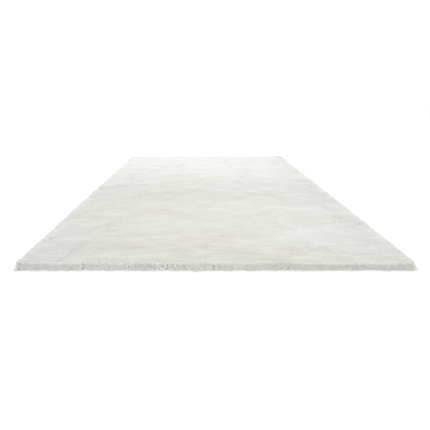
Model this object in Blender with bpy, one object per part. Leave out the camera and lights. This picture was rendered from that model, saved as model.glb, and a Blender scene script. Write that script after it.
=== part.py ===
"""Shag rug, 1.6 m by 2.3 m, lying flat on the floor.

The rug is one solid. Its long pile is a slab with a flat underside and a lumpy top,
which rounds off along a shoulder at the edge. Around the slab's wall grow locks of
pile, which arch out over the edge and come down to lie with their tips on the floor.

X is the rug's width, Y its length, and the near edge is at -Y. The origin is on the
floor, under the rug's middle. All sizes are in metres.
"""

import math
import random

import bmesh
import bpy
from mathutils import Vector, noise

# The rug
RUG_WIDTH = 1.600  # along X, over the tips of the rim locks
RUG_LENGTH = 2.300  # along Y, over the tips of the rim locks
PILE_HEIGHT = 0.027  # from the floor to the pile's mean top
CORNER_RADIUS = 0.030  # of the slab's wall, seen from above

# The pile's edge
LOCKS = 300
LOCK_REACH = 0.018  # how far the longest lock stands out from the wall
SHOULDER = 0.024  # from the wall in to where the top is level
RIM_HEIGHT = 0.020  # the wall's mean height, where the locks grow

# The top's cells, about 39 mm each
CELLS_X = 40
CELLS_Y = 58

# Lumps in the pile. It lies towards -Y, so the lumps of its top are wider than they are long.
TOP_LUMPS = (
    # wide (X), long (Y), high, layer of the noise
    (0.420, 0.330, 0.0024, 1.7),
    (0.160, 0.100, 0.0046, 5.3),
    (0.080, 0.058, 0.0040, 8.9),
)
RIM_LUMPS = (
    # wide (X), long (Y), high, layer of the noise
    (0.300, 0.300, 0.0016, 9.1),
    (0.090, 0.090, 0.0028, 12.9),
)

# A lock between its root and its tip. Out is a share of the lock's own reach, top and under
# are shares of the height of its root, and wide is a share of its root's width.
LOCK_SECTIONS = (
    # out, top, under, wide
    (0.46, 0.93, 0.26, 0.84),
    (0.80, 0.55, 0.00, 0.52),
)
SHORTEST_LOCK = 0.62  # a share of the longest lock's reach
LOCK_SWAY = 0.30  # how far a tip may lean along the rim, as a share of its root's width
LOCK_SEED = 11

CREAM_WHITE = (0.80, 0.79, 0.74, 1.0)
PILE_ROUGHNESS = 0.95


def clear_scene():
    for obj in list(bpy.data.objects):
        bpy.data.objects.remove(obj)


def pile_material():
    material = bpy.data.materials.new("cream_pile")
    material.use_nodes = True
    shader = material.node_tree.nodes["Principled BSDF"]
    shader.inputs["Base Color"].default_value = CREAM_WHITE
    shader.inputs["Roughness"].default_value = PILE_ROUGHNESS
    return material


def lump_height(lumps, x, y):
    """What a table of lumps adds to the pile's height at (x, y)."""
    return sum(
        high * noise.noise(Vector((x / wide, y / long, layer)))
        for wide, long, high, layer in lumps
    )


def wall_point(share):
    """A point of the slab's wall seen from above, this share of the way round it from the
    middle of its +X side."""
    straight_x = RUG_WIDTH / 2 - LOCK_REACH - CORNER_RADIUS
    straight_y = RUG_LENGTH / 2 - LOCK_REACH - CORNER_RADIUS
    bend = CORNER_RADIUS * math.pi / 2
    # A quarter of the way round runs from the middle of one side to the middle of the next.
    quarter = straight_x + bend + straight_y
    quarters, along = divmod(share * 4 * quarter, quarter)
    ahead, aside = (straight_x, straight_y) if quarters % 2 else (straight_y, straight_x)
    if along < ahead:
        x, y = aside + CORNER_RADIUS, along
    elif along < ahead + bend:
        angle = (along - ahead) / CORNER_RADIUS
        x = aside + CORNER_RADIUS * math.cos(angle)
        y = ahead + CORNER_RADIUS * math.sin(angle)
    else:
        x, y = aside - (along - ahead - bend), ahead + CORNER_RADIUS
    for _ in range(int(quarters)):
        x, y = -y, x
    return x, y


def add_top(mesh):
    """The pile's top inside the shoulder."""
    wide = RUG_WIDTH - 2 * (LOCK_REACH + SHOULDER)
    long = RUG_LENGTH - 2 * (LOCK_REACH + SHOULDER)
    grid = bmesh.ops.create_grid(mesh, x_segments=CELLS_X, y_segments=CELLS_Y, size=0.5)
    for vert in grid["verts"]:
        x, y = vert.co.x * wide, vert.co.y * long
        vert.co = (x, y, PILE_HEIGHT + lump_height(TOP_LUMPS, x, y))


def add_shoulder(mesh):
    """The wall's upper edge, with one stretch for each lock, joined to the top."""
    ring = bmesh.ops.create_circle(mesh, segments=LOCKS, radius=1)
    for number, vert in enumerate(ring["verts"]):
        x, y = wall_point(number / LOCKS)
        vert.co = (x, y, RIM_HEIGHT + lump_height(RIM_LUMPS, x, y))
    open_edges = [edge for edge in mesh.edges if len(edge.link_faces) < 2]
    bmesh.ops.bridge_loops(mesh, edges=open_edges)


def add_wall(mesh):
    """The wall, from its upper edge straight down to the floor. Returns its faces."""
    upper_edge = [edge for edge in mesh.edges if edge.is_boundary]
    made = bmesh.ops.extrude_edge_only(mesh, edges=upper_edge)["geom"]
    for item in made:
        if isinstance(item, bmesh.types.BMVert):
            item.co.z = 0
    return [item for item in made if isinstance(item, bmesh.types.BMFace)]


def add_underside(mesh):
    foot = [edge for edge in mesh.edges if edge.is_boundary]
    bmesh.ops.contextual_create(mesh, geom=foot)


def grow_lock(mesh, root, rng):
    """Draws a face of the wall out into a lock whose tip lies on the floor."""
    out = Vector((root.normal.x, root.normal.y, 0)).normalized()
    along = Vector((-out.y, out.x, 0))
    middle = root.calc_center_median()
    height = 2 * middle.z
    middle.z = 0
    width = 2 * max((vert.co - middle).dot(along) for vert in root.verts)
    reach = LOCK_REACH * rng.uniform(SHORTEST_LOCK, 1)
    sway = width * rng.uniform(-LOCK_SWAY, LOCK_SWAY)

    face = root
    for out_share, top, under, wide in LOCK_SECTIONS:
        face = bmesh.ops.extrude_discrete_faces(mesh, faces=[face])["faces"][0]
        level = face.calc_center_median().z
        lean = along * sway * out_share**2
        for vert in face.verts:
            side = math.copysign(width * wide / 2, (vert.co - middle).dot(along))
            z = height * (top if vert.co.z > level else under)
            vert.co = middle + out * reach * out_share + along * side + lean
            vert.co.z = z
    tip = bmesh.ops.poke(mesh, faces=[face])["verts"][0]
    tip.co = middle + out * reach + along * sway


def build_rug():
    mesh = bmesh.new()
    add_top(mesh)
    add_shoulder(mesh)
    roots = add_wall(mesh)
    add_underside(mesh)
    bmesh.ops.recalc_face_normals(mesh, faces=mesh.faces)
    rng = random.Random(LOCK_SEED)
    for root in roots:
        grow_lock(mesh, root, rng)
    bmesh.ops.recalc_face_normals(mesh, faces=mesh.faces)

    data = bpy.data.meshes.new("shag_rug")
    mesh.to_mesh(data)
    mesh.free()
    data.materials.append(pile_material())
    parts = bpy.data.collections.new("shag_rug_parts")
    bpy.context.scene.collection.children.link(parts)
    parts.objects.link(bpy.data.objects.new("shag_rug", data))


clear_scene()
build_rug()
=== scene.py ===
"""Looks of the shag rug: fine combed tufts on a bed of shorter fibre, with locks that hang over
its edges to the floor, on a woven backing, in a plain pale studio.

Everything is in metres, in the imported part's frame: X across the rug, Y along it away from the
near edge, Z up, with the origin on the floor under the rug's middle.
"""

import math

import bpy
import numpy as np
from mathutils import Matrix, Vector, noise


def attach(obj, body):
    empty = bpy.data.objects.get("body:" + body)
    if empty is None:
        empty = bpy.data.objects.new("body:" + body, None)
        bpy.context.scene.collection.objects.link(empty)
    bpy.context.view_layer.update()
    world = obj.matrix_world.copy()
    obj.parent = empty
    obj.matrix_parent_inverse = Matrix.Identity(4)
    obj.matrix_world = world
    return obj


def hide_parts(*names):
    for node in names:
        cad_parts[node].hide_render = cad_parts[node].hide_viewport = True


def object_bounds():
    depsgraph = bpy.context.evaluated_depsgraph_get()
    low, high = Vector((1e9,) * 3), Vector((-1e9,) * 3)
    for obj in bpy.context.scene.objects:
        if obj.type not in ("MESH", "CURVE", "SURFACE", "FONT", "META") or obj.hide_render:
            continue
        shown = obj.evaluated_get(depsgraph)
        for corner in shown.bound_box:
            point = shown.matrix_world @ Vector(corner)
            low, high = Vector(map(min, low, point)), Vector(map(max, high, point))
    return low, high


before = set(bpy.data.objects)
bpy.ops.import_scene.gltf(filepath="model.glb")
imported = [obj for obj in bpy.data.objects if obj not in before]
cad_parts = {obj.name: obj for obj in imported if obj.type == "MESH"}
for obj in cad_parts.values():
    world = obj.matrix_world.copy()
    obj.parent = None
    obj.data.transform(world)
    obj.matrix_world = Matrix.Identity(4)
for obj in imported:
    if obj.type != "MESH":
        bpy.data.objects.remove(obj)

cad_low, cad_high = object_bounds()

SEED = 20
TINY = 1e-9  # keeps a vector of no length from being divided by zero

# --- Shapes ----------------------------------------------------------------------------------

# The rug's outline over its edge locks, against the solid's box
PAST_SIDES = 0.007
INSIDE_ENDS = 0.011
HALF_X = (cad_high.x - cad_low.x) / 2 + PAST_SIDES
HALF_Y = (cad_high.y - cad_low.y) / 2 - INSIDE_ENDS
OUTER_RADIUS = 0.018  # of its corners
CORNER_STEPS = 12  # points around each corner
STRAIGHT_TO = (HALF_X - OUTER_RADIUS, HALF_Y - OUTER_RADIUS)  # where the corners begin

# The backing, and the bed of short fibre on it. An inset is from the outline to a rim.
BACKING_THICKNESS = 0.003
BACKING_INSET = 0.024
BACKING_CELL = 0.05
BED_GAP = 0.0002  # between the two
BED_DEPTH = 0.0028  # from the pile's top down to the bed's
BED_INSET = 0.015
BED_CELL = 0.020
BED_DROP = 0.003  # how much deeper the bed's rim is
BED_ROUNDING = 0.012  # how far in from the rim that starts
SLAB_RADIUS = 0.004  # of the corners of both

# The pile's top
PILE_HEIGHT = 0.0275  # its mean height
EDGE_DROP = 0.0060  # how much lower it is at the outline, where it turns down
EDGE_ROUNDING = 0.024  # how far in from the outline that starts
EDGE_RELIEF = 0.4  # the share of the lumps' height that is left at the outline
FACING_REACH = 0.036  # how far around a point the pile shares its shading

# Lumps in the pile's top, as in the solid
TOP_LUMPS = (
    # wide (X), long (Y), high, layer of the noise
    (0.420, 0.330, 0.0024, 1.7),
    (0.160, 0.100, 0.0046, 5.3),
    (0.080, 0.058, 0.0040, 8.9),
)

# Ripples where the combed pile lies in low waves, much wider than they are long
RIPPLES = (
    # wide (X), long (Y), high, layer of the noise
    (0.130, 0.034, 0.0012, 8.4),
    (0.090, 0.016, 0.0006, 4.6),
)

# The top's tufts. Each is a thin sheet from its root to its middle, and parts into strands there.
TOP_BANDS = 4  # pieces that the top is made in, from the near end to the far one
TUFT_PITCH = 0.0122
TUFT_SCATTER = 0.15  # how far a root is off its place in the grid, in pitches
TUFT_INSET = 0.013  # from the outline to the outermost roots
FAR_TUFT_INSET = 0.004  # the same at the far edge, where the tufts lie inwards
TUFT_LENGTH = 0.036
TUFT_WIDTH = 0.0196
TUFT_LENGTHS = (0.90, 1.10)  # the shortest and longest, as shares of that length
TUFT_WIDTHS = (0.85, 1.15)  # the narrowest and widest, as shares of that width
TUFT_ROOT_WIDE = 0.88  # how wide a tuft is at its root, as a share of its width
TUFT_ROOT_RISE = -0.0007  # the root's height against the pile's top, where its tips lie
TUFT_PARTING = 0.50  # where it parts, as a share of its length
TUFT_STRANDS = 4
TUFT_RIDGE = 0.0006  # how far each strand's ridge stands up between its sides
COMBED = 0.005  # how far the ripples draw the tips forward
TOP_SOFTNESS = 0.88  # how far the tufts share the shading of the pile that they lie in

# A tuft's points are two at its root, then the sides, the ridges and the tips of its strands.
FIRST_SIDE = 2
FIRST_RIDGE = FIRST_SIDE + TUFT_STRANDS + 1
FIRST_TIP = FIRST_RIDGE + TUFT_STRANDS
TUFT_POINTS = FIRST_TIP + TUFT_STRANDS

# How far the tufts turn aside from place to place
TUFT_DRIFTS = (
    # wide (X), long (Y), radians, layer of the noise
    (0.500, 0.420, 0.36, 3.3),
    (0.160, 0.070, 0.20, 6.1),
)

# How much single tufts and their strands differ, as standard deviations
TURN_SPREAD = 0.11  # radians
RISE_SPREAD = 0.0002
STRAND_REACH_SPREAD = 0.0032
STRAND_SWAY_SPREAD = 0.07  # in widths of the tuft
TUFT_TINT_SPREAD = 0.015

# How the tufts lean out over the near edge and the sides
LEAN = 1.1  # how strongly they turn out there, against the way that the pile lies
LEAN_DEPTH = 0.045  # how far in from the outermost roots that starts
LEAN_SPREAD = 0.15  # how much that differs, as a share of it
LEAN_SHORTER = 0.50  # how much shorter they are there
NEAR_SHORTER = 0.09  # how much more so at the near edge
LEAN_SAG = 0.0030  # how much lower their tips are there

# Thin streaks of lighter and darker tufts, which lie across the rug as its combed pile does:
# partly the tufts' own tone, partly painted shade for the shade of the pile's low combed waves
TOP_TINT = 0.80  # the mean tint
TINT_AND_SHADE_WAVES = (
    # wide (X), long (Y), strong, layer of the noise
    (0.300, 0.062, 0.08, 7.7),
    (0.095, 0.014, 0.28, 2.7),
)
TINT_AND_SHADE_STREAKS = (
    # share of the rug's length, how strong the streaks are there
    (0.00, 1.90),
    (0.14, 1.00),
    (1.00, 0.40),
)

# The edge's locks lean together in tufts.
EDGE_PITCH = 0.0120  # from one tuft to the next
EDGE_LOCKS = 4  # locks of one tuft in each row
EDGE_FLATNESS = 0.60  # how high a lock is, as a share of its width
EDGE_SOFTNESS = 0.75  # how far the locks share the shading of the pile's edge
ROOTS_OUT = 0.4  # how far out the edge's shading faces at the roots, against straight up
TIPS_UP = 0.6  # how far up it faces at the tips, against straight out
EDGE_SECTIONS = (
    # share of the way from a lock's root to its tip, share of its width
    (0.00, 0.80),
    (0.36, 1.00),
    (0.72, 0.72),
)
LOCK_POINTS = 3 * len(EDGE_SECTIONS) + 1  # three around each section, and the tip

# Locks at the edge, row by row from the top one down. An inset is from the outline to a point,
# and gather is how far the tips of a tuft draw together, as a share of the way to one point.
# The tints are painted shade and light: darkest in the shade under the upper rows, lightest at
# the floor
EDGE_ROWS = (
    # root inset, height; bend inset, height; tip inset, height; gather, wide, tint with painted
    # shade
    (0.0240, 0.0225, 0.0020, 0.0300, 0.0050, 0.0165, 0.03, 0.0054, 0.60),
    (0.0220, 0.0185, 0.0010, 0.0245, 0.0040, 0.0115, 0.05, 0.0054, 0.80),
    (0.0210, 0.0145, 0.0005, 0.0190, 0.0030, 0.0075, 0.08, 0.0052, 0.66),
    (0.0200, 0.0100, 0.0005, 0.0135, 0.0010, 0.0040, 0.14, 0.0050, 0.30),
    (0.0190, 0.0060, 0.0005, 0.0095, -0.0025, 0.0016, 0.45, 0.0048, 0.32),
    (0.0180, 0.0035, 0.0040, 0.0050, -0.0095, 0.0008, 0.80, 0.0042, 0.88),
    (0.0190, 0.0030, 0.0060, 0.0075, 0.0015, 0.0008, 0.00, 0.0056, 1.00),
)

# One more row at the far edge, which covers the roots of the top's tufts there
FAR_ROW = (0.0420, 0.0265, 0.0260, 0.0325, 0.0080, 0.0240, 0.00, 0.0062, 0.10)
FAR_EDGE = 0.3  # the far edge is where the Y of the way out is more than this
FAR_SHADE = 0.35  # how much lower the tints are there, where the light falls straight on

# How much the edge's tufts differ, as standard deviations
LEAN_ALONG_SPREAD = 0.0028  # how far along the outline the tips lean
REACH_SPREAD = 0.0050
EDGE_RISE_SPREAD = 0.0008
EDGE_TINT_SPREAD = 0.03
CORNER_SPLAY = 0.006  # how much further out they reach at the corners

# How the locks of one tuft differ. The spreads are standard deviations.
LOCK_ROOTS = 0.55  # how far to each side their roots are scattered, in pitches
LOCK_SWAY_SPREAD = 0.0007
LOCK_RISE_SPREAD = 0.0005
LOCK_TINT_SPREAD = 0.06
LOCK_WIDTHS = (0.80, 1.25)  # the narrowest and widest, as shares of a row's width
LOOSE_REACH = 0.1  # the share of its tuft's reach that a lock has in a row with no gather
LOOSE_SPREAD = 0.0010  # of a lock's own reach in such a row
GATHER_SPREAD = 0.0025  # what a full gather adds to that
BEND_REACH = 0.5  # the share of its reach that a lock has at its bend
BEND_SWAY = 0.2  # the share of its way along the outline that a lock has gone there

# --- Colours and finishes --------------------------------------------------------------------

WHITE = (1, 1, 1, 1)
TOP_CREAM = (0.729, 0.727, 0.670, 1)
TOP_COOL_WHITE = (0.717, 0.734, 0.723, 1)
# Painted light: the roots are lighter, to offset the shade down among the tufts
TOP_ROOT_PAINTED_LIGHT = (0.815, 0.815, 0.768, 1)
# Painted light: the edge's whites are lighter than the top's, to offset the shade among its locks
EDGE_CREAM_PAINTED_LIGHT = (0.919, 0.917, 0.855, 1)
EDGE_COOL_WHITE_PAINTED_LIGHT = (0.912, 0.923, 0.894, 1)
# Painted light: the edge's roots are lighter, to offset the shade down among its locks
EDGE_ROOT_PAINTED_LIGHT = (0.940, 0.940, 0.890, 1)
# Painted light: the edge's tips are lighter, where light catches and passes through the fibre
EDGE_TIP_PAINTED_LIGHT = (0.90, 0.90, 0.855, 1)
# Painted light: the bed is lighter than the tufts, to offset the shade in the gaps between them
BED_CREAM_PAINTED_LIGHT = (0.826, 0.822, 0.763, 1)
BED_COOL_WHITE_PAINTED_LIGHT = (0.815, 0.826, 0.802, 1)

# Painted light and shade: how light the top is made across the rug, from its left side to its
# right one, to follow how the light falls on it
PAINTED_LIGHT_ACROSS = (
    # share of its width, red, green, blue
    (0.00, 0.872, 0.874, 0.878),
    (0.15, 0.884, 0.886, 0.882),
    (0.50, 0.938, 0.938, 0.938),
    (0.76, 0.982, 0.982, 0.984),
    (0.88, 0.962, 0.962, 0.962),
    (1.00, 0.896, 0.897, 0.894),
)

# Painted light and shade: how light the top is made along the rug, from its near end to its far
# one, to follow how the light falls on it
PAINTED_LIGHT_ALONG = (
    # share of its length, red, green, blue
    (0.00, 0.988, 0.988, 0.988),
    (0.04, 0.970, 0.970, 0.970),
    (0.08, 0.950, 0.950, 0.950),
    (0.20, 1.000, 1.000, 1.000),
    (0.32, 0.952, 0.952, 0.954),
    (0.44, 0.832, 0.832, 0.830),
    (0.54, 0.914, 0.909, 0.912),
    (0.68, 0.958, 0.944, 0.954),
    (1.00, 0.898, 0.870, 0.882),
)

# Patches of warmer and cooler white. The warm middle is where place times scale plus shift is 0.
WARM_SCALE = (1.25, 0.85, 0.0)
WARM_SHIFT = (0.07, 0.45, 0.0)
WARM_FADE = (0.0, 0.5)  # where it starts and is full, as shares of the way in from its rim
PATCH_SCALE = (0.9, 4.5, 0.0)
PATCH_NOISE = (0.32, 0.68)  # the range of the noise that the patches use
PATCH_WARMTH = (0.60, -0.60)  # what they add to the warmth of the middle
PATCH_SHADE = (0.935, 0.935, 0.923, 1)
PATCH_LIGHT = (1.047, 1.047, 1.054, 1)

# The long fibre of tufts and locks. A fade runs between two shares of their length.
MAP_MARGIN = 0.15  # around a tuft in its cell of the UV map, as a share of the cell
STRAND_STEP = 0.37  # how far apart two tufts lie in the noise of their fibre
FIBRE_SCALE = (30.0, 2.6, 11.0)  # across a tuft, along it, and from one tuft to the next
FIBRE_NOISE = (0.25, 0.75)
FIBRE_ROUGHNESS = (0.70, 0.94)
FIBRE_BUMP = (0.70, 0.0005)  # strength, height
FIBRE_SHEEN = 1.0
FIBRE_SHEEN_ROUGHNESS = 0.35
FIBRE_SPECULAR = 0.25
# where the painted light at the roots fades out
ROOT_LIGHT_FADE = (0.25, 0.60)
# where the painted light at the edge's tips fades in
TIP_LIGHT_FADE = (0.60, 1.00)
TINT_SHADE = (0.70, 0.70, 0.68, 1)  # the darkest tint
STREAK_NOISE = (0.35, 0.70)
STREAK_SHARE = (0.0, 0.9)
STREAK_SHADE = (0.88, 0.875, 0.85, 1)

# The bed's short fibre
BED_FUZZ_STRETCH = (1.0, 1.0, 0.6)
BED_FUZZ_SCALE = 420.0
BED_FUZZ_SHARE = (0.0, 0.35)
BED_SHADE = (0.72, 0.71, 0.65, 1)
BED_ROUGHNESS = (0.85, 0.98)
BED_BUMP = (0.4, 0.001)  # strength, height
BED_SPECULAR = 0.2
SHADE_NOISE = (0.35, 0.65)  # the range of the noise that shades it

# The backing's weave
THREAD_SCALE = 75.0
THREAD_WANDER = 1.2
THREAD_WANDER_SCALE = 0.4
WEAVE_SHADE = (0.42, 0.37, 0.28, 1)
WEAVE_LIGHT = (0.66, 0.61, 0.50, 1)
WEAVE_BUMP = (0.7, 0.0008)  # strength, height
WEAVE_FUZZ = (0.50, 0.45, 0.35, 1)
WEAVE_FUZZ_SCALE = 900.0
WEAVE_FUZZ_SHARE = (0.0, 0.3)
WEAVE_ROUGHNESS = (0.80, 0.97)
FUZZ_NOISE = (0.3, 0.7)  # the range of the noise that roughens the bed and the backing

# --- Studio and camera -----------------------------------------------------------------------

WORLD_STRENGTH = 1.06
SOFTBOXES = (
    # name, place, what it points at, size, power
    ("back_softbox", (-0.7, 2.2, 1.5), (-0.1, 0.6, 0.0), (3.0, 1.2), 36.0),
    ("front_softbox", (0.0, -5.0, 1.2), (0.0, -1.15, 0.0), (5.0, 1.6), 40.0),
)
FLOOR_HALF = 30.0
FLOOR_DROP = 0.0005  # how far the floor is under the rug
FLOOR_WHITE = (0.97, 0.97, 0.97, 1)
FLOOR_GRAIN = 40.0
FLOOR_ROUGHNESS = (0.8, 0.9)
FLOOR_BUMP = (0.02, 0.001)  # strength, height

PHOTO_WIDTH = 430  # pixels
PHOTO_FOCAL = 316.2  # pixels
VANISHING_X = 201.2  # the pixel column where the rug's long sides would meet
CAMERA_PITCH = 21.15  # degrees below level
CAMERA_PLACE = (-0.058, -2.243, 0.662)
SENSOR_WIDTH = 36.0  # millimetres


# --- Arrays of points ------------------------------------------------------------------------


def unit(vectors):
    """The same vectors, each 1 long."""
    return vectors / np.maximum(np.linalg.norm(vectors, axis=1, keepdims=True), TINY)


def noise_at(points, wide, long, layer):
    """Smooth noise from about -1 to 1 at each of the points."""
    return np.array([noise.noise((x / wide, y / long, layer)) for x, y in points[:, :2]])


def relief_at(points, table):
    """What the waves of a table, such as lumps or ripples, come to at each point."""
    return sum(high * noise_at(points, wide, long, layer) for wide, long, high, layer in table)


def depth_inside(points):
    """How far inside the rug's outline each point lies."""
    past = np.abs(points[:, :2]) - STRAIGHT_TO
    beyond = np.linalg.norm(np.maximum(past, 0), axis=1)
    return OUTER_RADIUS - beyond - np.minimum(past.max(axis=1), 0)


def way_out(points):
    """The direction from each point straight to the rug's outline."""
    past = np.abs(points[:, :2]) - STRAIGHT_TO
    corner = np.maximum(past, 0)
    side = np.where(past == past.max(axis=1, keepdims=True), 1.0, 0.0)
    inside = (past.max(axis=1) <= 0)[:, None]
    return unit(np.where(inside, side, corner)) * np.sign(points[:, :2])


def level_share(points):
    """0 on the rug's outline, and 1 from where its top no longer turns down to the edge."""
    return np.clip(depth_inside(points) / EDGE_ROUNDING, 0, 1)


def relief_share(points):
    """The share of the lumps' height that is left at each point."""
    return EDGE_RELIEF + (1 - EDGE_RELIEF) * level_share(points)


def pile_top(points):
    """The height of the pile's top at each point, lower where it turns down at the edge."""
    relief = relief_at(points, TOP_LUMPS) + relief_at(points, RIPPLES)
    drop = EDGE_DROP * (1 - level_share(points)) ** 2
    return PILE_HEIGHT + relief * relief_share(points) - drop


def pile_facing(points):
    """The direction that the pile's top faces around each point, which its fibre shades by."""
    ahead, aside = (0, FACING_REACH), (FACING_REACH, 0)
    rise_x = (pile_top(points + aside) - pile_top(points - aside)) / (2 * FACING_REACH)
    rise_y = (pile_top(points + ahead) - pile_top(points - ahead)) / (2 * FACING_REACH)
    return unit(np.column_stack([-rise_x, -rise_y, np.ones(len(points))]))


def outline_length():
    return 4 * (HALF_X + HALF_Y - 2 * OUTER_RADIUS) + 2 * math.pi * OUTER_RADIUS


def outline_points(count):
    """Points spaced evenly along the rug's outline, and the directions that point straight out
    there."""
    turns = np.arange(4)[:, None] + np.linspace(0, 1, CORNER_STEPS + 1)[None, :]
    outs = np.stack([np.cos(turns * math.pi / 2), np.sin(turns * math.pi / 2)], axis=-1)
    centres = np.array([(1, 1), (-1, 1), (-1, -1), (1, -1)]) * STRAIGHT_TO
    loop = (centres[:, None, :] + OUTER_RADIUS * outs).reshape(-1, 2)
    outs = outs.reshape(-1, 2)
    loop, outs = np.vstack([loop, loop[:1]]), np.vstack([outs, outs[:1]])
    walked = np.concatenate([[0], np.cumsum(np.linalg.norm(np.diff(loop, axis=0), axis=1))])
    at = np.arange(count) / count * walked[-1]
    place = np.column_stack([np.interp(at, walked, loop[:, k]) for k in (0, 1)])
    out = np.column_stack([np.interp(at, walked, outs[:, k]) for k in (0, 1)])
    return place, unit(out)


def chosen(arrays, members):
    """The same members of each of the arrays in a dictionary."""
    return {key: values[members] for key, values in arrays.items()}


# --- Meshes ----------------------------------------------------------------------------------


def mesh_object(name, points, triangles, material):
    """A smooth object from arrays of points and triangles, riding on the rug's body."""
    data = bpy.data.meshes.new(name)
    data.vertices.add(len(points))
    data.vertices.foreach_set("co", np.ascontiguousarray(points, np.float32).ravel())
    data.loops.add(triangles.size)
    data.loops.foreach_set("vertex_index", np.ascontiguousarray(triangles, np.int32).ravel())
    data.polygons.add(len(triangles))
    data.polygons.foreach_set("loop_start", np.arange(0, triangles.size, 3, dtype=np.int32))
    data.update(calc_edges=True)
    data.shade_smooth()
    data.materials.append(material)
    obj = bpy.data.objects.new(name, data)
    bpy.context.scene.collection.objects.link(obj)
    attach(obj, "root")
    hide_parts("shag_rug")
    return obj


def repeated(faces, count, points_each):
    """The triangles of many equal shapes whose points follow one another."""
    return (faces[None] + (np.arange(count) * points_each)[:, None, None]).reshape(-1, 3)


def set_attribute(obj, name, values):
    """Stores a number, or a vector, for each of the object's points."""
    kind, field = ("FLOAT", "value") if values.ndim == 1 else ("FLOAT_VECTOR", "vector")
    attribute = obj.data.attributes.new(name, kind, "POINT")
    attribute.data.foreach_set(field, np.ascontiguousarray(values, np.float32).ravel())


def set_uv(obj, name, uv):
    """Lays out a UV map from one place for each of the object's points."""
    corners = np.empty(len(obj.data.loops), np.int32)
    obj.data.loops.foreach_get("vertex_index", corners)
    layer = obj.data.uv_layers.new(name=name)
    layer.data.foreach_set("uv", np.ascontiguousarray(uv[corners], np.float32).ravel())


def set_tuft_maps(obj, across, along, tints):
    """Gives an object of equal tufts or locks the places and tints for their material, and each
    of them a small cell of its own in the UV map. Across and along are the places of the points
    of one tuft, and there is one tint for each tuft."""
    count = len(tints)
    number = np.repeat(np.arange(count), len(across))
    place = np.tile(np.column_stack([across, along]), (count, 1))
    set_attribute(obj, "along", place[:, 1])
    set_attribute(obj, "tint", tints[number])
    set_attribute(obj, "strand", np.column_stack([place, number * STRAND_STEP]))
    cells = math.ceil(math.sqrt(count))
    cell = np.column_stack([number % cells, number // cells])
    set_uv(obj, "OFBake", (cell + MAP_MARGIN + (1 - 2 * MAP_MARGIN) * place) / cells)


def tuft_faces():
    """The triangles of one tuft, its tops first, and how many of them are tops."""
    sides = range(FIRST_SIDE, FIRST_RIDGE)
    ridges = range(FIRST_RIDGE, FIRST_TIP)
    tips = range(FIRST_TIP, TUFT_POINTS)
    row = [point for pair in zip(sides, ridges) for point in pair] + [sides[-1]]
    # Between the root and the row of sides and ridges, the triangles of one root point give way
    # to those of the other: at a ridge on top and at a side underneath, so that no triangle on
    # top has the same points as one underneath.
    turn = 2 * (TUFT_STRANDS // 2) - 1
    tops = [(1, 0, row[turn])]
    tops += [(0, row[k], row[k + 1]) for k in range(turn)]
    tops += [(1, row[k], row[k + 1]) for k in range(turn, len(row) - 1)]
    for side, ridge, tip, next_side in zip(sides, ridges, tips, sides[1:]):
        tops += [(side, tip, ridge), (ridge, tip, next_side)]
    under = list(zip(sides, sides[1:], tips))
    turn = (TUFT_STRANDS + 1) // 2
    under += [(0, 1, sides[turn])]
    under += [(0, sides[k + 1], sides[k]) for k in range(turn)]
    under += [(1, sides[k + 1], sides[k]) for k in range(turn, TUFT_STRANDS)]
    return np.array(tops + under), len(tops)


def tuft_normals(points, triangles, upper, facing):
    """The shading direction at each corner of each triangle of the tufts. On the upper ones it
    is that of the triangle, is smooth over the strands' ridges, and blends into that of the
    pile, which is given for each tuft."""
    corners = points[triangles]
    face = np.cross(corners[:, 1] - corners[:, 0], corners[:, 2] - corners[:, 0])
    smooth = np.zeros_like(points)
    for corner in range(3):
        touched = triangles[upper, corner]
        for axis in range(3):
            smooth[:, axis] += np.bincount(touched, face[upper, axis], len(points))
    smooth, face = unit(smooth), unit(face)
    number = triangles % TUFT_POINTS
    ridge = (number >= FIRST_RIDGE) & (number < FIRST_TIP)
    own = np.where(ridge[:, :, None], smooth[triangles], face[:, None, :])
    blended = (1 - TOP_SOFTNESS) * own + TOP_SOFTNESS * facing[triangles // TUFT_POINTS]
    blended[~upper] = face[~upper][:, None, :]
    return unit(blended.reshape(-1, 3))


def tufts_object(name, tufts, material):
    """A joined mesh of closed tufts."""
    count = len(tufts["root"])
    heading = np.column_stack([tufts["heading"], np.zeros(count)])
    side = np.column_stack([-heading[:, 1], heading[:, 0], np.zeros(count)])
    points, across, along = [], [], []

    def add(centre, strand, share, sway=0.0, lift=0.0):
        """Adds a point to each tuft. Strand and sway are in widths from the tuft's middle line,
        and share is how far along the tuft the point is."""
        point = centre + side * ((strand + sway) * tufts["width"])[:, None]
        point[:, 2] += lift
        points.append(point)
        across.append(0.5 + strand)
        along.append(share)

    for end in (-0.5, 0.5):
        add(tufts["root"], TUFT_ROOT_WIDE * end, 0.0)
    for k in range(TUFT_STRANDS + 1):
        add(tufts["middle"], k / TUFT_STRANDS - 0.5, TUFT_PARTING)
    strands = [(k + 0.5) / TUFT_STRANDS - 0.5 for k in range(TUFT_STRANDS)]
    for strand in strands:
        add(tufts["middle"], strand, TUFT_PARTING, lift=TUFT_RIDGE)
    for k, strand in enumerate(strands):
        tip = tufts["tip"] + heading * tufts["strand_reach"][:, k : k + 1]
        add(tip, strand, 1.0, tufts["strand_sway"][:, k], tufts["strand_rise"][:, k])

    points = np.stack(points, axis=1).reshape(-1, 3)
    faces, tops = tuft_faces()
    triangles = repeated(faces, count, TUFT_POINTS)
    upper = np.tile(np.arange(len(faces)) < tops, count)
    normals = tuft_normals(points, triangles, upper, tufts["facing"])
    obj = mesh_object(name, points, triangles, material)
    obj.data.normals_split_custom_set(normals.tolist())
    set_tuft_maps(obj, across, along, tufts["tint"])


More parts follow.
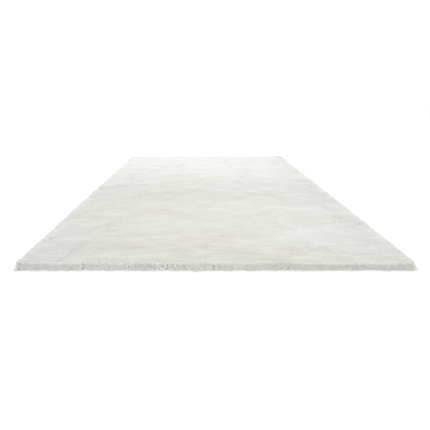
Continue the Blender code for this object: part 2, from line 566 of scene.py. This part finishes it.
def lock_faces():
    """The triangles of one lock, from its root to its tip."""
    around = ((0, 1), (1, 2), (2, 0))
    tip = LOCK_POINTS - 1
    last = tip - 3
    faces = [(2, 1, 0)]
    for low in range(0, last, 3):
        high = low + 3
        for a, b in around:
            faces += [(low + a, low + b, high + b), (low + a, high + b, high + a)]
    faces += [(last + a, last + b, tip) for a, b in around]
    return np.array(faces)


def locks_object(name, locks, material):
    """A joined mesh of closed locks, each three-sided and drawn along a curve from its root
    over its bend to its tip. Their shading blends into that of the pile, which faces one way at
    the roots and another at the tips."""
    roots, bends, tips = locks["root"], locks["bend"], locks["tip"]
    count = len(roots)
    lean = tips - roots
    side = unit(np.column_stack([-lean[:, 1], lean[:, 0], np.zeros(count)]))
    points, normals, across, along = [], [], [], []
    for share, wide in EDGE_SECTIONS:
        middle = (1 - share) ** 2 * roots + 2 * share * (1 - share) * bends + share**2 * tips
        heading = unit((1 - share) * (bends - roots) + share * (tips - bends))
        up = np.cross(heading, side)
        up *= np.where(up[:, 2:] < 0, -1, 1)
        facing = unit((1 - share) * locks["root_facing"] + share * locks["tip_facing"])
        for corner in range(3):
            angle = math.radians(90 + 120 * corner)
            place = side * math.cos(angle) + up * (EDGE_FLATNESS * math.sin(angle))
            outward = unit(side * (EDGE_FLATNESS * math.cos(angle)) + up * math.sin(angle))
            points.append(middle + place * (locks["width"] * wide / 2)[:, None])
            normals.append(unit((1 - EDGE_SOFTNESS) * outward + EDGE_SOFTNESS * facing))
            across.append(corner / 2)
            along.append(share)
    points.append(tips)
    normals.append(locks["tip_facing"])
    across.append(0.5)
    along.append(1.0)

    points = np.stack(points, axis=1).reshape(-1, 3)
    normals = np.stack(normals, axis=1).reshape(-1, 3)
    obj = mesh_object(name, points, repeated(lock_faces(), count, LOCK_POINTS), material)
    obj.data.normals_split_custom_set_from_vertices(normals.tolist())
    set_tuft_maps(obj, across, along, locks["tint"])


def slab(name, inset, low, top_of, cell, material):
    """A closed slab inside the rug's outline, whose top's height top_of gives at each point."""
    half_x, half_y = HALF_X - inset, HALF_Y - inset
    columns, rows = round(2 * half_x / cell), round(2 * half_y / cell)
    across = np.linspace(-half_x, half_x, columns + 1)
    along = np.linspace(-half_y, half_y, rows + 1)
    x, y = np.meshgrid(across, along)
    points = np.column_stack([x.ravel(), y.ravel()])
    # The grid's corners are drawn in onto the rounded corners.
    straight_to = np.array((half_x - SLAB_RADIUS, half_y - SLAB_RADIUS))
    core = np.clip(points, -straight_to, straight_to)
    past = points - core
    points = core + unit(past) * np.abs(past).max(axis=1, keepdims=True)

    count = len(points)
    top = np.column_stack([points, top_of(points)])
    bottom = np.column_stack([points, np.full(count, low)])
    number = np.arange(count).reshape(rows + 1, columns + 1)
    a, b = number[:-1, :-1].ravel(), number[:-1, 1:].ravel()
    c, d = number[1:, 1:].ravel(), number[1:, :-1].ravel()
    rim = np.concatenate([number[0, :-1], number[:-1, -1], number[-1, :0:-1], number[:0:-1, 0]])
    onward = np.roll(rim, -1)
    faces = [
        np.column_stack([a, b, c]),
        np.column_stack([a, c, d]),
        np.column_stack([c, b, a]) + count,
        np.column_stack([d, c, a]) + count,
        np.column_stack([rim, rim + count, onward + count]),
        np.column_stack([rim, onward + count, onward]),
    ]
    return mesh_object(name, np.vstack([top, bottom]), np.vstack(faces), material)


# --- Pieces ----------------------------------------------------------------------------------


def backing_top(points):
    return np.full(len(points), BACKING_THICKNESS)


def bed_top(points):
    """The height of the short fibre, which follows the pile's top and is rounded at its rim."""
    level = np.clip((depth_inside(points) - BED_INSET) / BED_ROUNDING, 0, 1)
    return pile_top(points) - BED_DEPTH - BED_DROP * (1 - level) ** 2


def top_roots(rng):
    """The roots of the top's tufts, scattered about a grid whose every second row is shifted."""
    left, near = -HALF_X + TUFT_INSET, -HALF_Y + TUFT_INSET
    across = np.arange(left + TUFT_PITCH / 2, HALF_X - TUFT_INSET, TUFT_PITCH)
    along = np.arange(near + TUFT_PITCH / 2, HALF_Y - FAR_TUFT_INSET, TUFT_PITCH)
    x, y = np.meshgrid(across, along)
    x = x + TUFT_PITCH / 2 * (np.arange(len(along)) % 2)[:, None]
    roots = np.column_stack([x.ravel(), y.ravel()])
    roots += rng.uniform(-TUFT_SCATTER, TUFT_SCATTER, roots.shape) * TUFT_PITCH
    # At the far edge the roots may be nearer to the outline.
    tested = roots.copy()
    tested[roots[:, 1] > 0, 1] -= TUFT_INSET - FAR_TUFT_INSET
    return roots[depth_inside(tested) >= TUFT_INSET]


def top_headings(roots, rng):
    """The direction that each tuft lies in, how far it leans out over the near edge or a side,
    from 0 to 1, and the way out there. The pile lies towards the near edge, and drifts to one
    side or the other from place to place."""
    count = len(roots)
    angle = -math.pi / 2 + relief_at(roots, TUFT_DRIFTS) + rng.normal(0, TURN_SPREAD, count)
    lay = np.column_stack([np.cos(angle), np.sin(angle)])
    inward = rng.normal(0, LEAN_SPREAD, count) + (depth_inside(roots) - TUFT_INSET) / LEAN_DEPTH
    out = way_out(roots)
    out[:, 1] = np.minimum(out[:, 1], 0)
    leaning = np.clip(1 - inward, 0, 1) * np.linalg.norm(out, axis=1)
    return unit(lay + LEAN * leaning[:, None] * out), leaning, out


def top_tints_and_shade(roots):
    """How light each tuft is in the streaks across the rug, which are partly painted shade,
    before it differs by itself.
    """
    shares, strengths = zip(*TINT_AND_SHADE_STREAKS)
    strength = np.interp(roots[:, 1] / (2 * HALF_Y) + 0.5, shares, strengths)
    return TOP_TINT + strength * relief_at(roots, TINT_AND_SHADE_WAVES)


def top_tufts(material, rng):
    """The tufts that cover the rug's top, in a few pieces."""
    roots = top_roots(rng)
    heading, leaning, out = top_headings(roots, rng)
    count = len(roots)
    wide, long, _, layer = RIPPLES[0]
    length = TUFT_LENGTH * rng.uniform(*TUFT_LENGTHS, count)
    length += COMBED * noise_at(roots, wide, long, layer)
    length *= 1 - leaning * (LEAN_SHORTER + NEAR_SHORTER * np.abs(out[:, 1]))

    def on_pile(place, above):
        return np.column_stack([place, pile_top(place) + above])

    middle = roots + heading * (length * TUFT_PARTING)[:, None]
    tip = roots + heading * length[:, None]
    each_strand = (count, TUFT_STRANDS)
    tufts = {
        "root": on_pile(roots, TUFT_ROOT_RISE),
        "middle": on_pile(middle, rng.normal(0, RISE_SPREAD, count)),
        "tip": on_pile(tip, -LEAN_SAG * leaning),
        "heading": heading,
        "facing": pile_facing(middle),
        "width": TUFT_WIDTH * rng.uniform(*TUFT_WIDTHS, count),
        "strand_reach": rng.normal(0, STRAND_REACH_SPREAD, each_strand),
        "strand_sway": rng.normal(0, STRAND_SWAY_SPREAD, each_strand),
        "strand_rise": rng.normal(0, RISE_SPREAD, each_strand),
        "tint": np.clip(top_tints_and_shade(roots) + rng.normal(0, TUFT_TINT_SPREAD, count), 0, 1),
    }
    order = np.argsort(roots[:, 1], kind="stable")
    for band, members in enumerate(np.array_split(order, TOP_BANDS)):
        tufts_object(f"pile_top_{band + 1}", chosen(tufts, members), material)


def edge_tufts(rng):
    """What the locks of one tuft at the edge share, with one entry for each of the locks that
    a row has."""
    count = round(outline_length() / EDGE_PITCH)
    place, out = outline_points(count)
    tufts = {
        "place": place,
        "out": out,
        "lean": rng.normal(0, LEAN_ALONG_SPREAD, count),
        "reach": rng.normal(0, REACH_SPREAD, count),
        "rise": np.abs(rng.normal(0, EDGE_RISE_SPREAD, count)),
        "tint": rng.normal(0, EDGE_TINT_SPREAD, count),
    }
    # The smaller part of the way out is largest, at 1 / sqrt(2), in the middle of a corner.
    tufts["reach"] += CORNER_SPLAY * math.sqrt(2) * np.abs(out).min(axis=1)
    return chosen(tufts, np.repeat(np.arange(count), EDGE_LOCKS))


def edge_row(row, tufts, rng):
    """One row of locks along the whole outline."""
    root_in, root_z, bend_in, bend_z, tip_in, tip_z, gather, wide, tint = row
    place, out = tufts["place"], tufts["out"]
    aside = np.column_stack([-out[:, 1], out[:, 0]])
    count = len(place)
    start = rng.uniform(-LOCK_ROOTS, LOCK_ROOTS, count) * EDGE_PITCH
    end = start * (1 - gather) + gather * tufts["lean"] + rng.normal(0, LOCK_SWAY_SPREAD, count)
    reach = tufts["reach"] * (LOOSE_REACH + (1 - LOOSE_REACH) * gather)
    reach += rng.normal(0, LOOSE_SPREAD + GATHER_SPREAD * gather, count)

    def spots(inset, height, reached, along):
        """A point of each lock, at a height that follows the lumps of the pile above it."""
        flat = place - out * (inset - reached * reach)[:, None] + aside * along[:, None]
        lumps = relief_share(flat) * relief_at(flat, TOP_LUMPS) * height / PILE_HEIGHT
        return np.column_stack([flat, height + lumps])

    tip = spots(tip_in, tip_z, 1.0, end)
    tip[:, 2] += tufts["rise"] + np.abs(rng.normal(0, LOCK_RISE_SPREAD, count))
    # each tuft's and lock's own tone, less the painted shade at the far edge, added to the row's
    # painted shade
    spread = tufts["tint"] + rng.normal(0, LOCK_TINT_SPREAD, count)
    spread -= FAR_SHADE * np.clip(out[:, 1], 0, 1)
    return {
        "root": spots(root_in, root_z, 0.0, start),
        "bend": spots(bend_in, bend_z, BEND_REACH, start + (end - start) * BEND_SWAY),
        "tip": tip,
        "root_facing": unit(np.column_stack([ROOTS_OUT * out, np.ones(count)])),
        "tip_facing": unit(np.column_stack([out, np.full(count, TIPS_UP)])),
        "width": wide * rng.uniform(*LOCK_WIDTHS, count),
        "tint": np.clip(tint + spread, 0, 1),
    }


def edge_locks(material, rng):
    """The locks that hang over the rug's edges to the floor, row over row."""
    tufts = edge_tufts(rng)
    rows = [edge_row(row, tufts, rng) for row in EDGE_ROWS]
    far_row = edge_row(FAR_ROW, tufts, rng)
    rows.append(chosen(far_row, tufts["out"][:, 1] > FAR_EDGE))
    locks = {key: np.concatenate([row[key] for row in rows]) for key in rows[0]}
    near = locks["root"][:, 1] < 0
    locks_object("pile_edge_near", chosen(locks, near), material)
    locks_object("pile_edge_far", chosen(locks, ~near), material)


# --- Materials -------------------------------------------------------------------------------


class Nodes:
    """Builds a material's node tree, one short call for each node."""

    def __init__(self, name):
        self.material = bpy.data.materials.new(name)
        self.material.use_nodes = True
        self.tree = self.material.node_tree
        self.shader = self.tree.nodes["Principled BSDF"]

    def add(self, kind, **settings):
        node = self.tree.nodes.new(kind)
        for key, value in settings.items():
            setattr(node, key, value)
        return node

    def put(self, socket, value):
        """Links a socket to an output, or sets it to a value."""
        if isinstance(value, bpy.types.NodeSocket):
            self.tree.links.new(value, socket)
        else:
            socket.default_value = value

    def attribute(self, name, output="Fac"):
        return self.add("ShaderNodeAttribute", attribute_name=name).outputs[output]

    def place(self):
        return self.add("ShaderNodeTexCoord").outputs["Object"]

    def mapped(self, vector, scale, shift=(0.0, 0.0, 0.0)):
        node = self.add("ShaderNodeMapping")
        self.put(node.inputs["Vector"], vector)
        node.inputs["Location"].default_value = shift
        node.inputs["Scale"].default_value = scale
        return node.outputs["Vector"]

    def noise(self, vector, scale=1.0, detail=3.0, roughness=0.5):
        node = self.add("ShaderNodeTexNoise")
        self.put(node.inputs["Vector"], vector)
        node.inputs["Scale"].default_value = scale
        node.inputs["Detail"].default_value = detail
        node.inputs["Roughness"].default_value = roughness
        return node.outputs["Fac"]

    def ranged(self, value, source, target=(0.0, 1.0)):
        """Moves a value from one range into another."""
        node = self.add("ShaderNodeMapRange")
        self.put(node.inputs["Value"], value)
        node.inputs["From Min"].default_value, node.inputs["From Max"].default_value = source
        node.inputs["To Min"].default_value, node.inputs["To Max"].default_value = target
        return node.outputs["Result"]

    def mix(self, share, one, other, blend="MIX"):
        node = self.add("ShaderNodeMix", data_type="RGBA", blend_type=blend)
        self.put(node.inputs["Factor"], share)
        self.put(node.inputs["A"], one)
        self.put(node.inputs["B"], other)
        return node.outputs["Result"]

    def bump(self, height, strength, distance):
        node = self.add("ShaderNodeBump")
        node.inputs["Strength"].default_value = strength
        node.inputs["Distance"].default_value = distance
        self.put(node.inputs["Height"], height)
        return node.outputs["Normal"]

    def finish(self, colour, roughness, normal):
        self.put(self.shader.inputs["Base Color"], colour)
        self.put(self.shader.inputs["Roughness"], roughness)
        self.put(self.shader.inputs["Normal"], normal)


def patches(nodes, cream, cool):
    """The faint patches of warmer and cooler white that drift over the whole rug. It is warmest
    in the middle of its near half."""
    place = nodes.place()
    middle = nodes.add("ShaderNodeTexGradient", gradient_type="SPHERICAL")
    nodes.put(middle.inputs["Vector"], nodes.mapped(place, WARM_SCALE, WARM_SHIFT))
    waves = nodes.noise(nodes.mapped(place, PATCH_SCALE), detail=4.0, roughness=0.52)
    warm = nodes.add("ShaderNodeMath", operation="ADD", use_clamp=True)
    nodes.put(warm.inputs[0], nodes.ranged(middle.outputs["Fac"], WARM_FADE))
    nodes.put(warm.inputs[1], nodes.ranged(waves, PATCH_NOISE, PATCH_WARMTH))
    white = nodes.mix(warm.outputs["Value"], cool, cream)
    waved = nodes.mix(nodes.ranged(waves, PATCH_NOISE), PATCH_SHADE, PATCH_LIGHT)
    return nodes.mix(1.0, white, waved, "MULTIPLY")


def painted_light_and_shade(nodes, colour, axis, half, shades):
    """Paints light and shade into a colour: makes it lighter or darker by how far along an axis
    it is, from -half to half.
    """
    apart = nodes.add("ShaderNodeSeparateXYZ")
    nodes.put(apart.inputs["Vector"], nodes.place())
    ramp = nodes.add("ShaderNodeValToRGB")
    ramp.color_ramp.interpolation = "B_SPLINE"
    for row in shades[1:-1]:
        ramp.color_ramp.elements.new(row[0])
    for element, (position, *shade) in zip(ramp.color_ramp.elements, shades):
        element.position = position
        element.color = (*shade, 1)
    nodes.put(ramp.inputs["Fac"], nodes.ranged(apart.outputs[axis], (-half, half)))
    return nodes.mix(1.0, colour, ramp.outputs["Color"], "MULTIPLY")


def fibre_noise(nodes):
    """Fine streaks along each tuft or lock, different in each of them."""
    strand = nodes.attribute("strand", "Vector")
    return nodes.noise(nodes.mapped(strand, FIBRE_SCALE), detail=2.0)


def pile_colour(nodes, cream, cool, root):
    """The pile's whites, with painted light at the roots that offsets the shade down among the
    tufts, tinted tuft by tuft with their own tone and with painted shade.
    """
    white = patches(nodes, cream, cool)
    # painted light: the roots are lighter, offsetting the shade down among the tufts
    root_lit = nodes.mix(nodes.ranged(nodes.attribute("along"), ROOT_LIGHT_FADE, (1.0, 0.0)), white, root)
    tint = nodes.mix(nodes.attribute("tint"), TINT_SHADE, WHITE)
    return nodes.mix(1.0, root_lit, tint, "MULTIPLY")


def streaked(nodes, colour, fibres):
    """Darkens a colour in the streaks between the fibres."""
    share = nodes.ranged(fibres, STREAK_NOISE, STREAK_SHARE)
    return nodes.mix(share, colour, STREAK_SHADE, "MULTIPLY")


def soft_finish(nodes, colour, fibres):
    """Finishes a material as long soft fibre, and returns it."""
    roughness = nodes.ranged(fibres, FIBRE_NOISE, FIBRE_ROUGHNESS)
    nodes.finish(colour, roughness, nodes.bump(fibres, *FIBRE_BUMP))
    nodes.shader.inputs["Sheen Weight"].default_value = FIBRE_SHEEN
    nodes.shader.inputs["Sheen Roughness"].default_value = FIBRE_SHEEN_ROUGHNESS
    nodes.shader.inputs["Specular IOR Level"].default_value = FIBRE_SPECULAR
    return nodes.material


def top_fibre():
    """The fibre of the top's tufts, with painted light and shade from place to place."""
    nodes = Nodes("top_fibre")
    fibres = fibre_noise(nodes)
    colour = pile_colour(nodes, TOP_CREAM, TOP_COOL_WHITE, TOP_ROOT_PAINTED_LIGHT)
    colour = streaked(nodes, colour, fibres)
    # painted light and shade across and along the top
    colour = painted_light_and_shade(nodes, colour, "X", HALF_X, PAINTED_LIGHT_ACROSS)
    colour = painted_light_and_shade(nodes, colour, "Y", HALF_Y, PAINTED_LIGHT_ALONG)
    return soft_finish(nodes, colour, fibres)


def edge_fibre_painted_light():
    """The fibre of the edge's locks, painted lighter than the top's to offset the shade among
    them, with painted light at their tips, which are all of one white.
    """
    nodes = Nodes("edge_fibre_painted_light")
    fibres = fibre_noise(nodes)
    # painted light: the edge's whites are lighter than the top's
    colour = pile_colour(nodes, EDGE_CREAM_PAINTED_LIGHT, EDGE_COOL_WHITE_PAINTED_LIGHT, EDGE_ROOT_PAINTED_LIGHT)
    # painted light on the edge's tips
    tips = nodes.ranged(nodes.attribute("along"), TIP_LIGHT_FADE)
    colour = nodes.mix(tips, colour, EDGE_TIP_PAINTED_LIGHT)
    return soft_finish(nodes, streaked(nodes, colour, fibres), fibres)


def bed_fibre_painted_light():
    """The short fibre under the tufts, which shows between them, painted lighter to offset the
    shade there.
    """
    nodes = Nodes("bed_fibre_painted_light")
    place = nodes.mapped(nodes.place(), BED_FUZZ_STRETCH)
    fuzz = nodes.noise(place, BED_FUZZ_SCALE)
    white = patches(nodes, BED_CREAM_PAINTED_LIGHT, BED_COOL_WHITE_PAINTED_LIGHT)
    colour = nodes.mix(nodes.ranged(fuzz, SHADE_NOISE, BED_FUZZ_SHARE), white, BED_SHADE)
    roughness = nodes.ranged(fuzz, FUZZ_NOISE, BED_ROUGHNESS)
    nodes.finish(colour, roughness, nodes.bump(fuzz, *BED_BUMP))
    nodes.shader.inputs["Specular IOR Level"].default_value = BED_SPECULAR
    return nodes.material


def woven_backing():
    """Plain weave: two sets of threads that pass over and under each other."""
    nodes = Nodes("woven_backing")
    warp = nodes.add("ShaderNodeTexWave", wave_type="BANDS", bands_direction="X")
    weft = nodes.add("ShaderNodeTexWave", wave_type="BANDS", bands_direction="Y")
    for wave in (warp, weft):
        nodes.put(wave.inputs["Vector"], nodes.place())
        wave.inputs["Scale"].default_value = THREAD_SCALE
        wave.inputs["Distortion"].default_value = THREAD_WANDER
        wave.inputs["Detail Scale"].default_value = THREAD_WANDER_SCALE
    weave = nodes.mix(0.5, warp.outputs["Color"], weft.outputs["Color"], "DIFFERENCE")
    fuzz = nodes.noise(nodes.place(), WEAVE_FUZZ_SCALE)
    colour = nodes.mix(weave, WEAVE_SHADE, WEAVE_LIGHT)
    colour = nodes.mix(nodes.ranged(fuzz, FUZZ_NOISE, WEAVE_FUZZ_SHARE), colour, WEAVE_FUZZ)
    roughness = nodes.ranged(fuzz, FUZZ_NOISE, WEAVE_ROUGHNESS)
    nodes.finish(colour, roughness, nodes.bump(weave, *WEAVE_BUMP))
    return nodes.material


# --- Studio ----------------------------------------------------------------------------------


def pale_floor():
    nodes = Nodes("pale_floor")
    grain = nodes.noise(nodes.place(), FLOOR_GRAIN)
    roughness = nodes.ranged(grain, (0.0, 1.0), FLOOR_ROUGHNESS)
    nodes.finish(FLOOR_WHITE, roughness, nodes.bump(grain, *FLOOR_BUMP))
    return nodes.material


def floor():
    corners = [(-1, -1), (1, -1), (1, 1), (-1, 1)]
    points = [(x * FLOOR_HALF, y * FLOOR_HALF, -FLOOR_DROP) for x, y in corners]
    data = bpy.data.meshes.new("floor")
    data.from_pydata(points, [], [(0, 1, 2, 3)])
    data.materials.append(pale_floor())
    obj = bpy.data.objects.new("floor", data)
    bpy.context.scene.collection.objects.link(obj)


def white_world():
    world = bpy.data.worlds.new("studio")
    world.use_nodes = True
    sky = world.node_tree.nodes["Background"]
    sky.inputs["Color"].default_value = WHITE
    sky.inputs["Strength"].default_value = WORLD_STRENGTH
    bpy.context.scene.world = world


def softbox(name, place, aim, size, power):
    lamp = bpy.data.lights.new(name, "AREA")
    lamp.shape = "RECTANGLE"
    lamp.size, lamp.size_y = size
    lamp.energy = power
    obj = bpy.data.objects.new(name, lamp)
    obj.location = place
    obj.rotation_euler = (Vector(aim) - Vector(place)).to_track_quat("-Z", "Y").to_euler()
    bpy.context.scene.collection.objects.link(obj)


def camera():
    """A camera at the photograph's angle, level from side to side."""
    data = bpy.data.cameras.new("camera")
    data.sensor_width = SENSOR_WIDTH
    data.lens = PHOTO_FOCAL * SENSOR_WIDTH / PHOTO_WIDTH
    data.shift_x = (PHOTO_WIDTH / 2 - VANISHING_X) / PHOTO_WIDTH
    obj = bpy.data.objects.new("camera", data)
    obj.location = CAMERA_PLACE
    obj.rotation_euler = (math.radians(90 - CAMERA_PITCH), 0, 0)
    bpy.context.scene.collection.objects.link(obj)
    bpy.context.scene.camera = obj


def studio():
    camera()
    floor()
    white_world()
    for box in SOFTBOXES:
        softbox(*box)
    bpy.context.scene.view_settings.view_transform = "Standard"


def rug():
    rng = np.random.default_rng(SEED)
    backing = slab("rug_backing", BACKING_INSET, 0.0, backing_top, BACKING_CELL, woven_backing())
    bed_low = BACKING_THICKNESS + BED_GAP
    slab("pile_bed", BED_INSET, bed_low, bed_top, BED_CELL, bed_fibre_painted_light())
    top_tufts(top_fibre(), rng)
    edge_locks(edge_fibre_painted_light(), rng)


studio()
rug()
